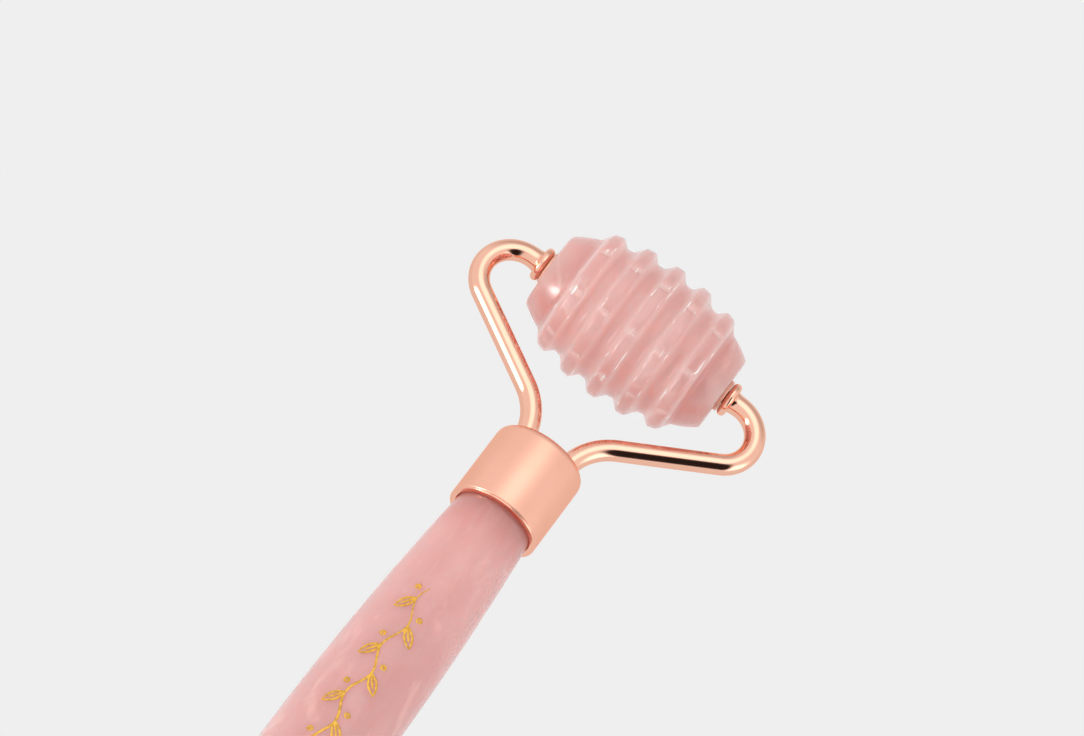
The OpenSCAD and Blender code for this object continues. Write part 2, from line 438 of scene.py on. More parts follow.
@dataclass(frozen=True)
class GoldFoil(Finish):
    """Yellow gold foil pressed into the stone, slightly broken up by its grain."""

    name: str = "gold_foil"
    bright: Colour = (0.86, 0.50, 0.07)
    dull: Colour = (0.62, 0.32, 0.045)
    grain: float = 2400.0

    def inputs(self, shader: Shader) -> Inputs:
        """The Principled shader's inputs."""
        grain = shader.noise(shader.place(), self.grain, 3.0)
        return {
            "Base Color": shader.blend(shader.smooth(grain, 0.38, 0.66), self.bright, self.dull),
            "Metallic": 0.55,
            "Roughness": 0.34 + grain * 0.2,
            "Normal": shader.bump(0.2, 0.1 * MM, grain),
        }


@dataclass(frozen=True)
class Plain(Finish):
    """A plain moulded or turned finish with a fine grain."""

    name: str
    colour: Colour
    roughness: float = 0.4
    metallic: float = 0.0
    grain: float = 1500.0
    darkening: float = 0.86

    def inputs(self, shader: Shader) -> Inputs:
        """The Principled shader's inputs."""
        grain = shader.noise(shader.place(), self.grain, 3.0)
        darker = tuple(c * self.darkening for c in self.colour)
        return {
            "Base Color": shader.blend(shader.smooth(grain, 0.35, 0.7), self.colour, darker),
            "Metallic": self.metallic,
            "Roughness": self.roughness + grain * 0.12,
            "Normal": shader.bump(0.1, 0.1 * MM, grain),
        }


@dataclass(frozen=True)
class FloorPaint(Finish):
    """A pale matt paint that glows by itself, so that the floor stays even."""

    name: str = "floor_paint"
    own: float = 0.02
    level: float = 0.871
    strength: float = 0.965

    def inputs(self, shader: Shader) -> Inputs:
        """The Principled shader's inputs."""
        return {
            "Base Color": (self.own,) * 3 + (1.0,),
            "Roughness": 1.0,
            "Specular IOR Level": 0.0,
            "Emission Color": (self.level,) * 3 + (1.0,),
            "Emission Strength": self.strength,
        }


# ---------------------------------------------------------------- surfaces


def ease(value: np.ndarray) -> np.ndarray:
    """0 below 0, 1 above 1, and 3v^2 - 2v^3 between."""
    held = np.clip(value, 0.0, 1.0)
    return held * held * (3.0 - 2.0 * held)


def round_corners(points: np.ndarray, cuts: np.ndarray, steps: int = 7) -> np.ndarray:
    """Rounds an open outline's corners.

    Each inner corner C is left out between P = C - cut * (way in) and Q = C + cut * (way out),
    and (1-t)^2 P + 2t(1-t) C + t^2 Q fills the gap. Both ends stay where they are.

    Args:
        points: The outline's corners, one row each.
        cuts: How far from each corner its rounding starts, with the two ends' values unused.
        steps: Points in each rounding.

    Returns:
        The rounded outline.
    """
    ways = np.diff(points, axis=0)
    ways /= np.linalg.norm(ways, axis=1, keepdims=True)
    corner = points[1:-1]
    reach = cuts[1:-1, None]
    first, last = corner - reach * ways[:-1], corner + reach * ways[1:]
    t = np.linspace(0.0, 1.0, steps)[None, :, None]
    curve = (1 - t) ** 2 * first[:, None] + 2 * t * (1 - t) * corner[:, None] + t**2 * last[:, None]
    return np.vstack([points[:1], curve.reshape(-1, 2), points[-1:]])


def grid_faces(rows: int, columns: int, closed_rows: bool, closed_columns: bool) -> np.ndarray:
    """Quads of a grid of points that are numbered row by row.

    Args:
        rows: Points down the grid.
        columns: Points across it.
        closed_rows: Whether the last row joins the first.
        closed_columns: Whether the last column joins the first.

    Returns:
        The four point numbers of each face.
    """
    i = np.arange(rows if closed_rows else rows - 1)[:, None]
    j = np.arange(columns if closed_columns else columns - 1)[None, :]
    down, over = (i + 1) % rows, (j + 1) % columns
    quads = (i * columns + j, i * columns + over, down * columns + over, down * columns + j)
    return np.stack([np.broadcast_to(q, (i.size, j.size)).ravel() for q in quads], axis=1)


def volume(points: np.ndarray, faces: np.ndarray) -> float:
    """The space that quads enclose: the sum of a . (b x c) / 6 over their triangles."""
    a, b, c, d = (points[faces[:, k]] for k in range(4))
    return float((np.einsum("ij,ij->i", a, np.cross(b, c) + np.cross(c, d))).sum() / 6)


@dataclass
class Skin:
    """A closed mesh under construction: points, quads and named numbers at the points."""

    points: np.ndarray
    faces: np.ndarray
    numbers: dict[str, np.ndarray] = field(default_factory=dict)

    @classmethod
    def tube(cls, grid: np.ndarray, **numbers: np.ndarray) -> "Skin":
        """Closes a grid of rings into a ring-shaped skin, in both directions.

        Args:
            grid: Points, as (ring, place on the ring, xyz), where the last ring joins the first.
            numbers: Values at the points, shaped as the grid.

        Returns:
            The skin, with its faces outwards.
        """
        rows, columns = grid.shape[:2]
        return cls._outwards(grid.reshape(-1, 3), grid_faces(rows, columns, True, True), numbers)

    @classmethod
    def capped(cls, grid: np.ndarray, **numbers: np.ndarray) -> "Skin":
        """Closes a grid of rings with a fan from the middle of its first and of its last ring.

        Args:
            grid: Points, as (ring, place on the ring, xyz).
            numbers: Values at the points, shaped as the grid.

        Returns:
            The skin, with its faces outwards.
        """
        rows, columns = grid.shape[:2]
        poles = grid[[0, -1]].mean(axis=1)
        points = np.vstack([grid.reshape(-1, 3), poles])
        side = grid_faces(rows, columns, False, True)
        here = np.arange(0, columns, 2)
        ahead, beyond = (here + 1) % columns, (here + 2) % columns
        last, pole = (rows - 1) * columns, np.full_like(here, rows * columns)
        start = np.stack([pole, beyond, ahead, here], axis=1)
        stop = np.stack([pole + 1, last + here, last + ahead, last + beyond], axis=1)
        padded = {k: np.append(v.ravel(), [v[0].mean(), v[-1].mean()]) for k, v in numbers.items()}
        return cls._outwards(points, np.vstack([side, start, stop]), padded)

    @classmethod
    def _outwards(
        cls, points: np.ndarray, faces: np.ndarray, numbers: dict[str, np.ndarray]
    ) -> "Skin":
        """Turns the faces round if they look inwards."""
        if volume(points, faces) < 0:
            faces = faces[:, ::-1]
        return cls(points, faces, {k: v.ravel() for k, v in numbers.items()})

    @classmethod
    def joined(cls, skins: list["Skin"]) -> "Skin":
        """Puts several skins into one mesh, each still closed in itself."""
        offsets = np.cumsum([0] + [len(s.points) for s in skins[:-1]])
        return cls(
            np.vstack([s.points for s in skins]),
            np.vstack([s.faces + o for s, o in zip(skins, offsets)]),
        )

    def build(self, name: str, material: bpy.types.Material) -> bpy.types.Object:
        """Makes the Blender object.

        Args:
            name: What to call it.
            material: Its finish.

        Returns:
            The object, at the origin.
        """
        mesh = bpy.data.meshes.new(name)
        mesh.from_pydata(self.points.tolist(), [], self.faces.tolist())
        mesh.polygons.foreach_set("use_smooth", np.ones(len(mesh.polygons), bool))
        for label, values in self.numbers.items():
            mesh.attributes.new(label, "FLOAT", "POINT").data.foreach_set("value", values)
        mesh.materials.append(material)
        mesh.update()
        made = bpy.data.objects.new(name, mesh)
        bpy.context.scene.collection.objects.link(made)
        return made


def lathe(outline: np.ndarray, centre: Vector, axis: str, segments: int) -> np.ndarray:
    """Turns an outline round a line along X or Y.

    A point at height h and radius r goes to centre + h * axis + r * (cos a, sin a) across it.

    Args:
        outline: Rows of (height along the axis, radius).
        centre: The point on the axis where the height is 0.
        axis: "X" or "Y".
        segments: Points round each ring.

    Returns:
        A grid of points.
    """
    angle = np.arange(segments) * (2 * math.pi / segments)
    high = np.repeat(outline[:, :1], segments, axis=1)
    side = outline[:, 1:] * np.cos(angle)
    up = outline[:, 1:] * np.sin(angle)
    order = (high, side, up) if axis == "X" else (side, high, up)
    return np.stack(order, axis=-1) + np.array(centre)


def place_piece(piece: bpy.types.Object, node: str) -> None:
    """Hands a finished piece to the frame in a CAD node's place.

    Args:
        piece: The finished object.
        node: The CAD node that it stands for.
    """
    body = next(name for name, nodes in BODIES.items() if node in nodes)
    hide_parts(node)
    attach(piece, body)
    log.info("%s: %d faces, on %s", piece.name, len(piece.data.polygons), body)


def middle(node: str) -> Vector:
    """The middle of a CAD node's box at rest."""
    low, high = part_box(node)
    return (Vector(low) + Vector(high)) / 2


# ---------------------------------------------------------------- sub-assemblies


@dataclass
class Finishes:
    """The materials that the pieces share."""

    polished: bpy.types.Material
    satin: bpy.types.Material
    foil: bpy.types.Material
    nylon: bpy.types.Material
    steel: bpy.types.Material
    roller_stone: bpy.types.Material
    handle_stone: bpy.types.Material

    @classmethod
    def make(cls, handle: "Handle") -> "Finishes":
        """Builds every material once, with painted shade on the handle's stone beside its ferrules.
        """
        return cls(
            polished=RoseGold().make(),
            satin=RoseGold(
                "satin_rose_gold", (0.96, 0.52, 0.39), roughness=0.31, uneven=0.05, grain=0.5
            ).make(),
            foil=GoldFoil().make(),
            nylon=Plain("bush_nylon", (0.98, 0.52, 0.38), 0.30).make(),
            steel=Plain("inner_steel", (0.55, 0.55, 0.57), 0.35, 1.0).make(),
            roller_stone=RoseQuartz("roller_quartz").make(),
            handle_stone=RoseQuartz(
                "handle_quartz",
                body=(0.595, 0.342, 0.328),
                milk=(0.635, 0.385, 0.37),
                stain=(0.62, 0.325, 0.29),
                streak_stretch=(1.0, 0.1, 1.0),
                shade_span=handle.span(),
            ).make(),
        )


@dataclass
class Handle:
    """The stone spindle and the foil vine on it."""

    exposed: float = 96.0 * MM
    mid_radius: float = 8.98 * MM
    end_radius: float = 6.90 * MM
    edge: float = 0.4 * MM
    segments: int = 192
    rows: int = 180
    vine_start: float = 19.8 * MM
    vine_length: float = 61.0 * MM
    vine_wave: float = 10.2 * MM
    vine_sway: float = 0.75 * MM
    vine_turn: float = math.radians(8.0)
    leaf_length: float = 3.9 * MM
    leaf_width: float = 1.35 * MM
    leaf_lean: float = math.radians(38.0)
    rib_share: float = 0.7
    dot_radius: float = 0.34 * MM
    dot_back: float = 1.9 * MM
    dot_aside: float = 1.75 * MM
    stroke: float = 0.21 * MM
    stem_taper: float = 0.6
    leaf_taper: float = 0.5
    proud: float = 0.03 * MM

    def centre(self) -> Vector:
        """The middle of the handle."""
        return middle("handle_stone")

    def span(self) -> tuple[float, float]:
        """Where the bare stone starts and ends along Y."""
        mid = self.centre().y
        return mid - self.exposed / 2, mid + self.exposed / 2

    def radius(self, height: np.ndarray) -> np.ndarray:
        """The stone's radius: mid - (mid - end) * (height / half)^2, and end in the ferrules."""
        share = np.clip(np.abs(height) / (self.exposed / 2), 0.0, 1.0)
        return self.mid_radius - (self.mid_radius - self.end_radius) * share**2

    def skin(self) -> Skin:
        """The spindle, with a rounded edge at both hidden ends."""
        low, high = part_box("handle_stone")
        half = (high[1] - low[1]) / 2
        body = half - self.edge
        height = np.linspace(-body, body, self.rows)
        turn = np.linspace(0.0, math.pi / 2, 5)
        cap_height = body + self.edge * np.sin(turn[1:])
        cap_radius = self.end_radius - self.edge * (1 - np.cos(turn[1:]))
        outline = np.column_stack([height, self.radius(height)])
        top = np.column_stack([cap_height, cap_radius])
        bottom = np.column_stack([-cap_height[::-1], cap_radius[::-1]])
        grid = lathe(np.vstack([bottom, outline, top]), self.centre(), "Y", self.segments)
        return Skin.capped(grid, cut=np.zeros(grid.shape[:2]))

    def on_stone(self, along: np.ndarray, across: np.ndarray, lift: np.ndarray) -> np.ndarray:
        """Lays flat artwork on the stone.

        A point goes to the angle vine_turn + across / radius from straight up, towards -X,
        and to the radius of the stone there plus lift.

        Args:
            along: Distance below the large ferrule's rim.
            across: Distance across the artwork.
            lift: Height above the stone.

        Returns:
            The points.
        """
        height = self.exposed / 2 - along
        radius = self.radius(height)
        angle = self.vine_turn + across / radius
        reach = radius + lift
        places = (-reach * np.sin(angle), height, reach * np.cos(angle))
        return np.stack(places, axis=-1) + np.array(self.centre())

    def stroke_skin(self, along: np.ndarray, across: np.ndarray, taper: float) -> Skin:
        """A foil line: a flat oval carried along a path on the stone.

        The oval at angle a is stroke * cos a wide and proud * sin a high, and the width falls
        to 1 - taper of itself at both ends.

        Args:
            along: The path's distances below the rim.
            across: Its distances across.
            taper: How much narrower its ends are.

        Returns:
            The closed skin.
        """
        way = np.stack([np.gradient(along), np.gradient(across)], axis=1)
        way /= np.linalg.norm(way, axis=1, keepdims=True)
        share = np.linspace(0.0, 1.0, len(along))
        width = self.stroke * (1 - taper * np.abs(2 * share - 1) ** 3)
        angle = np.arange(8) * (math.pi / 4)
        out = width[:, None] * np.cos(angle)[None, :]
        lift = self.proud * np.sin(angle)[None, :] * np.ones_like(out)
        edge_along = along[:, None] - out * way[:, 1:]
        edge_across = across[:, None] + out * way[:, :1]
        return Skin.capped(self.on_stone(edge_along, edge_across, lift))

    def stem(self, along: np.ndarray | float) -> np.ndarray | float:
        """How far the stem sways aside: sway * sin(2 pi s / wave)."""
        return self.vine_sway * np.sin(2 * math.pi * along / self.vine_wave)

    def vine(self) -> Skin:
        """The foil vine: a swaying stem, with an almond leaf at each crest and a dot beside it.

        A leaf's edge is width / 2 * sin(pi t) on each side of its midrib, which leaves the stem
        at the leaf's lean, and a dot is a ring of radius dot_radius.
        """
        s = np.linspace(0.0, self.vine_length, 240)
        skins = [self.stroke_skin(self.vine_start + s, self.stem(s), self.stem_taper)]
        t = np.linspace(0.0, 1.0, 25)
        lean = self.leaf_lean
        for k in range(int(2 * self.vine_length / self.vine_wave)):
            side = 1 if k % 2 == 0 else -1
            root = (k / 2 + 0.25) * self.vine_wave
            for edge in (-1, 1, 0):
                bulge = edge * self.leaf_width / 2 * np.sin(math.pi * t)
                reach = t * self.leaf_length * (self.rib_share if edge == 0 else 1.0)
                x = reach * math.cos(lean) - side * bulge * math.sin(lean)
                y = side * reach * math.sin(lean) + bulge * math.cos(lean)
                path = self.vine_start + root + x
                skins.append(self.stroke_skin(path, self.stem(root) + y, self.leaf_taper))
            dot = 2 * math.pi * t[:-1]
            ring_x = root - self.dot_back + self.dot_radius * np.cos(dot)
            ring_y = side * self.dot_aside + self.dot_radius * np.sin(dot)
            skins.append(self.stroke_skin(self.vine_start + ring_x, ring_y, 0.0))
        return Skin.joined(skins)

    def build(self, finishes: Finishes) -> None:
        """Makes the stone and its foil."""
        stone = self.skin().build("handle_spindle", finishes.handle_stone)
        place_piece(stone, "handle_stone")
        foil = self.vine().build("handle_foil_vine", finishes.foil)
        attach(foil, "frame")
        log.info("%s: %d faces", foil.name, len(foil.data.polygons))


@dataclass
class Ferrule:
    """The satin cup between the handle and a yoke."""

    end: End
    wall: float = 0.8 * MM
    end_thickness: float = 1.2 * MM
    shoulder: float = 1.5 * MM
    mouth: float = 6.95 * MM
    lip: float = 0.3 * MM
    bead_share: float = 0.9
    groove: float = 0.11 * MM
    lip_depth: float = 1.2 * MM
    bore: float = 0.6 * MM
    segments: int = 192

    def skin(self) -> Skin:
        """The cup, turned about Y.

        Its mouth is turned in to the stone. Outside, a polished bead runs round the lip with a
        fine groove behind it, and a straight wall ends in a rounded shoulder and a flat end.
        The number "rim" is 1 on the bead and 1 - ease((y - lip) / (2 * groove)) past it.
        """
        low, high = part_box(self.end.node("ferrule"))
        length, outer = high[1] - low[1], (high[0] - low[0]) / 2
        inner, floor = outer - self.wall, length - self.end_thickness
        corners = np.array(
            [
                (floor, self.bore),
                (floor, inner),
                (self.lip_depth, inner),
                (self.lip_depth, self.mouth),
                (0.0, self.mouth),
                (0.0, outer),
                (self.lip, outer),
                (self.lip + self.groove, outer - self.groove),
                (self.lip + 2 * self.groove, outer),
                (length, outer),
                (length, self.bore),
            ]
        )
        bead, shoulder = self.bead_share * self.lip / MM, self.shoulder / MM
        cuts = np.array([0, 0.3, 0.1, 0.2, bead, bead, 0.04, 0.02, 0.04, shoulder, 0]) * MM
        outline = round_corners(corners, cuts, 9)
        outline = np.column_stack([outline[:, 0] * self.end.value, outline[:, 1]])
        rim = Vector((0.0, low[1] if self.end is End.LARGE else high[1], 0.0))
        grid = lathe(outline, rim, "Y", self.segments)
        buffed = 1 - ease((np.abs(outline[:, :1]) - self.lip) / (2 * self.groove))
        return Skin.tube(grid, rim=np.repeat(buffed, self.segments, axis=1))

    def build(self, finishes: Finishes) -> None:
        """Makes the cup."""
        node = self.end.node("ferrule")
        place_piece(self.skin().build(f"{node}_cup", finishes.satin), node)


@dataclass
class Yoke:
    """Two bent arms with their flanged axles and the bushes that turn on them."""

    end: End
    wire: float
    loop_x: float
    loop_r: float
    knee_r: float
    slope: float
    flange_r: float
    flange_t: float = 1.5 * MM
    spigot: float = 1.6 * MM
    dish: float = 0.22 * MM
    dish_run: float = 0.7 * MM
    pole_r: float = 0.3 * MM
    root_x: float = 4.1 * MM
    root_depth: float = 6.05 * MM
    pin_r: float = 1.2 * MM
    pin_length: float = 6.6 * MM
    bush_r: float = 2.0 * MM
    bush_flange_r: float = 2.85 * MM
    bush_flange_t: float = 0.55 * MM
    bush_length: float = 7.2 * MM
    running_gap: float = 0.05 * MM
    flare: float = 0.22 * MM
    cup_fade: float = 0.35 * MM
    flange_fade: float = 0.4 * MM
    ring: int = 40

    def axle_y(self) -> float:
        """Where the axle is along Y."""
        return middle(self.end.node("roller_stone")).y

    def ferrule_top(self) -> float:
        """Where the ferrule's closed end is along Y."""
        low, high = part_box(self.end.node("ferrule"))
        return high[1] if self.end is End.LARGE else low[1]

    def height(self) -> float:
        """How far the axle is from the ferrule's closed end."""
        return abs(self.axle_y() - self.ferrule_top())

    def flange_x(self) -> float:
        """Where a flange's inner face is along X, worked back from the axle's outer spigot."""
        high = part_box(self.end.node(Side.RIGHT.of("axle")))[1]
        return high[0] - self.flange_t - self.spigot

    def centre_line(self) -> tuple[np.ndarray, np.ndarray]:
        """The right-hand wire's middle, from root to tip, above the ferrule's closed end.

        It is a straight root, an arc of 90 - slope degrees about the knee, a straight rise, an
        arc of 180 - slope degrees about the loop, and a straight tip. On an arc the point is the
        centre + radius * (cos a, sin a), and on a stretch it is an even mix of its two ends.

        Returns:
            The points as (x, y), and the way the wire runs at each.
        """
        slope = self.slope
        rise = np.array([math.cos(slope), math.sin(slope)])
        loop = np.array([self.loop_x, self.height() - self.loop_r])
        foot = loop + self.loop_r * np.array([rise[1], -rise[0]])
        knee_x = self.root_x + self.knee_r
        knee_top_x = knee_x - self.knee_r * rise[1]
        run = (foot[0] - knee_top_x) / rise[0]
        knee = np.array([knee_x, foot[1] - run * rise[1] - self.knee_r * rise[0]])
        bend = np.linspace(math.pi, math.pi / 2 + slope, 26)
        knee_arc = knee + self.knee_r * np.column_stack([np.cos(bend), np.sin(bend)])
        turn = np.linspace(slope - math.pi / 2, math.pi / 2, 72)
        loop_arc = loop + self.loop_r * np.column_stack([np.cos(turn), np.sin(turn)])
        tip_x = self.flange_x() + self.flange_t * 0.6
        t = np.linspace(0.0, 1.0, 14)[:-1, None]
        u = np.linspace(0.0, 1.0, 12)[:, None]
        root = np.array([self.root_x, -self.root_depth])
        tip = np.array([tip_x, self.height()])
        line = np.vstack(
            [
                root + (knee_arc[0] - root) * t,
                knee_arc[:-1],
                knee_arc[-1] + (foot - knee_arc[-1]) * t,
                loop_arc[:-1],
                loop_arc[-1] + (tip - loop_arc[-1]) * u,
            ]
        )
        way = np.gradient(line, axis=0)
        return line, way / np.linalg.norm(way, axis=1, keepdims=True)

    def arm_skin(self, side: Side) -> Skin:
        """A round wire carried along its centre line, a little thicker where it is brazed.

        At angle a the surface is the centre + r * (cos a * normal + sin a * Z), and r grows by
        flare * e^(-distance / cup_fade) towards the ferrule and by flare * e^(-distance /
        flange_fade) towards the flange.

        Args:
            side: Which arm it is.

        Returns:
            The closed skin.
        """
        line, way = self.centre_line()
        normal = np.column_stack([way[:, 1], -way[:, 0]])
        from_cup = np.clip(line[:, 1], 0.0, None)
        at_axle = line[:, 1] > self.height() - self.wire
        past_flange = np.clip(line[:, 0] - self.flange_x() - self.flange_t, 0.0, None)
        from_flange = np.where(at_axle, past_flange, 1.0)
        swell = np.exp(-from_cup / self.cup_fade) + np.exp(-from_flange / self.flange_fade)
        radius = (self.wire + self.flare * np.clip(swell, 0.0, 1.0))[:, None]
        angle = np.arange(self.ring) * (2 * math.pi / self.ring)
        flat = line[:, None] + (radius * np.cos(angle))[..., None] * normal[:, None]
        up = radius * np.sin(angle)
        x = side.value * flat[..., 0]
        y = self.ferrule_top() + self.end.value * flat[..., 1]
        return Skin.capped(np.stack([x, y, up], axis=-1))

    def axle_skin(self, side: Side) -> Skin:
        """The flange and its pin, turned about X, with the pin towards the roller.

        The rim's radius is flat_r + half * cos a at the height half + half * sin a. The outer
        face at a radius r is at the height flange_t - dish * ease((flat_r - r) / dish_run).
        """
        half = self.flange_t / 2
        flat_r = self.flange_r - half
        turn = np.linspace(-math.pi / 2, math.pi / 2, 17)
        rim = np.column_stack([half + half * np.sin(turn), flat_r + half * np.cos(turn)])
        tip = -self.pin_length
        inner = np.array([(tip, self.pole_r), (tip, self.pin_r), (0.0, self.pin_r)])
        inner = round_corners(np.vstack([inner, rim[:1]]), np.array([0, 0.2, 0.1, 0]) * MM, 5)
        dish_r = np.linspace(flat_r - 0.05 * MM, self.pole_r, 10)
        sink = self.dish * ease((flat_r - dish_r) / self.dish_run)
        dish = np.column_stack([self.flange_t - sink, dish_r])
        outline = np.vstack([inner[:-1], rim, dish])
        centre = Vector((side.value * self.flange_x(), self.axle_y(), 0.0))
        return Skin.capped(lathe(outline * (side.value, 1.0), centre, "X", 96))

    def bush_skin(self, side: Side) -> Skin:
        """The flanged sleeve, with its edges broken."""
        bore = self.pin_r + self.running_gap
        wall_middle = (bore + self.bush_r) / 2
        corners = np.array(
            [
                (-self.bush_length, wall_middle),
                (-self.bush_length, self.bush_r),
                (0.0, self.bush_r),
                (0.0, self.bush_flange_r),
                (self.bush_flange_t, self.bush_flange_r),
                (self.bush_flange_t, bore),
                (-self.bush_length, bore),
                (-self.bush_length, wall_middle - 0.01 * MM),
            ]
        )
        cuts = np.array([0, 0.1, 0.02, 0.08, 0.12, 0.1, 0.1, 0]) * MM
        low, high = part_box(self.end.node("roller_stone"))
        centre = Vector((side.value * (high[0] - low[0]) / 2, self.axle_y(), 0.0))
        outline = round_corners(corners, cuts, 5) * (side.value, 1.0)
        return Skin.tube(lathe(outline, centre, "X", 96))

    def build(self, finishes: Finishes) -> None:
        """Makes both arms, axles and bushes."""
        for side in Side:
            for part, skin, finish, slot in (
                ("arm", self.arm_skin(side), finishes.polished, "polished_rose_gold"),
                ("axle", self.axle_skin(side), finishes.polished, "polished_rose_gold"),
                ("bush", self.bush_skin(side), finishes.nylon, "bush_nylon"),
            ):
                node = self.end.node(side.of(part))
                place_piece(skin.build(f"{node}_piece", finish), node)


@dataclass
class Roller:
    """A roller stone: an outline turned about its axle, with a hole through it."""

    end: End
    length: float
    hole_r: float = 2.05 * MM
    full_cut: float = 0.5 * MM
    corner: float = 0.9 * MM
    columns: int = 320
    rows: int = 250

    def radius(self, x: np.ndarray) -> np.ndarray:
        """The outline's radius at a distance from the middle."""
        raise NotImplementedError

    def lowered(self, x: np.ndarray, radius: np.ndarray, angle: np.ndarray) -> np.ndarray:
        """The radius after whatever is cut across the rings."""
        return radius

    def hollow(self, x: np.ndarray, radius: np.ndarray) -> np.ndarray:
        """How deep in a valley between rings a point is, from 0 to 1."""
        return np.zeros_like(x)

    def outline(self) -> np.ndarray:
        """The outer face and the rounded corner at each end of it, as rows of (x, radius).

        A corner is an arc of the corner's radius that leaves the outer face at its own slope
        and ends square on the end face.
        """
        probe = self.length / 2 - self.corner
        step = 0.05 * MM
        before, after = self.radius(np.array([probe, probe + step]))
        fall = math.atan((before - after) / step)
        body = self.length / 2 - self.corner * (1 - math.sin(fall))
        x = np.linspace(-body, body, self.rows)
        turn = np.linspace(fall, math.pi / 2, 12)[1:]
        arc_x = body + self.corner * (np.sin(turn) - math.sin(fall))
        arc_r = self.radius(np.array([body])) - self.corner * (math.cos(fall) - np.cos(turn))
        return np.vstack(
            [
                np.column_stack([-arc_x[::-1], arc_r[::-1]]),
                np.column_stack([x, self.radius(x)]),
                np.column_stack([arc_x, arc_r]),
            ]
        )

    def skin(self) -> Skin:
        """The outer face, two flat ends and the hole, closed into one ring.

        The number "cut" is how far a point was lowered, as a share of full_cut.
        """
        outer = self.outline()
        half, end_r = self.length / 2, outer[-1, 1]
        t = np.linspace(0.0, 1.0, 6)[1:]
        face_r = end_r + (self.hole_r - end_r) * t
        right = np.column_stack([np.full_like(face_r, half), face_r])
        bore_x = np.linspace(half, -half, 12)[1:-1]
        bore = np.column_stack([bore_x, np.full_like(bore_x, self.hole_r)])
        left = np.column_stack([np.full_like(face_r, -half), face_r])[::-1]
        outline = np.vstack([outer, right, bore, left])
        angle = np.arange(self.columns) * (2 * math.pi / self.columns)
        x = np.repeat(outline[:, :1], self.columns, axis=1)
        plain = np.repeat(outline[:, 1:], self.columns, axis=1)
        radius = plain.copy()
        faced = slice(len(outer))
        radius[faced] = self.lowered(x[faced], plain[faced], angle[None, :])
        cut = np.clip((plain - radius) / self.full_cut, 0.0, 1.0)
        grid = np.stack([x, -radius * np.sin(angle), radius * np.cos(angle)], axis=-1)
        centre = np.array(middle(self.end.node("roller_stone")))
        return Skin.tube(grid + centre, cut=cut, hollow=self.hollow(x, radius))

    def build(self, finishes: Finishes) -> None:
        """Makes the stone."""
        node = self.end.node("roller_stone")
        stone = self.skin().build(f"{node}_barrel", finishes.roller_stone)
        place_piece(stone, node)


@dataclass
class ToothedRoller(Roller):
    """The large barrel: five rings, each notched into eight blunt teeth."""

    crest_r: float = 12.81 * MM
    arch: float = 0.0122 / MM
    pitch: float = 5.6 * MM
    last_ring: int = 2
    top_half: float = 0.50 * MM
    flank: float = 1.95 * MM
    valley: float = 1.60 * MM
    band_x: float = 13.4 * MM
    band_r: float = 8.95 * MM
    band_slope: float = 0.40
    band_bow: float = 0.036 / MM
    band_gap: float = 0.4 * MM
    band_fade: float = 0.5 * MM
    teeth: int = 8
    notch_half: float = 1.35 * MM
    notch_depth: float = 0.5 * MM
    notch_turn: float = math.radians(31.0)
    blend: float = 0.16 * MM

    def crest(self, x: np.ndarray) -> np.ndarray:
        """The arch over the teeth: crest_r - arch * x^2."""
        return self.crest_r - self.arch * x * x

    def radius(self, x: np.ndarray) -> np.ndarray:
        """The outline: the arch, less an eased drop into each valley, joined to the end bands.

        With d the distance to the nearest ring, the drop is valley * ease((d - top) / flank).
        The band is band_r - slope * u - bow * u * |u| with u the distance past band_x.
        """
        far = np.abs(x)
        ring = np.clip(np.rint(far / self.pitch), 0, self.last_ring)
        gap = np.abs(far - ring * self.pitch)
        drop = ease((gap - self.top_half) / self.flank)
        past = far - self.band_x
        band = self.band_r - self.band_slope * past - self.band_bow * past * np.abs(past)
        beyond = far > self.last_ring * self.pitch
        floor = np.where(beyond, band, self.crest(x) - self.valley)
        return self.crest(x) + (floor - self.crest(x)) * drop

    def between_bands(self, x: np.ndarray) -> np.ndarray:
        """1 among the rings and 0 on the end bands: ease((band_x - gap - |x|) / fade)."""
        return ease((self.band_x - self.band_gap - np.abs(x)) / self.band_fade)

    def lowered(self, x: np.ndarray, radius: np.ndarray, angle: np.ndarray) -> np.ndarray:
        """Cuts the notches.

        With s the arc length to the nearest notch, a bowl of radius crest - depth * (1 - ease(|s|
        / half)) is laid over the rings, and the lower of ring and bowl stays, with a soft edge:
        (a + b + blend - sqrt((a - b)^2 + blend^2)) / 2, never above the ring.
        """
        step = 2 * math.pi / self.teeth
        turn = (angle - self.notch_turn + step / 2) % step - step / 2
        s = np.abs(turn) * self.crest(x)
        bowl = self.crest(x) - self.notch_depth * (1 - ease(s / self.notch_half))
        low = (bowl + radius + self.blend - np.sqrt((bowl - radius) ** 2 + self.blend**2)) / 2
        return radius + (np.minimum(low, radius) - radius) * self.between_bands(x)

    def hollow(self, x: np.ndarray, radius: np.ndarray) -> np.ndarray:
        """How deep in a valley a point is: (crest - radius) / valley, held from 0 to 1."""
        return np.clip((self.crest(x) - radius) / self.valley, 0.0, 1.0) * self.between_bands(x)


@dataclass
class SmoothRoller(Roller):
    """The small barrel: a plain parabola between rounded ends."""

    crest_r: float = 8.6 * MM
    shoulder_r: float = 7.3 * MM
    corner: float = 2.0 * MM
    rows: int = 90
    columns: int = 160

    def radius(self, x: np.ndarray) -> np.ndarray:
        """The outline: crest - (crest - shoulder) * (x / half)^2."""
        half = self.length / 2 - self.corner
        return self.crest_r - (self.crest_r - self.shoulder_r) * (x / half) ** 2


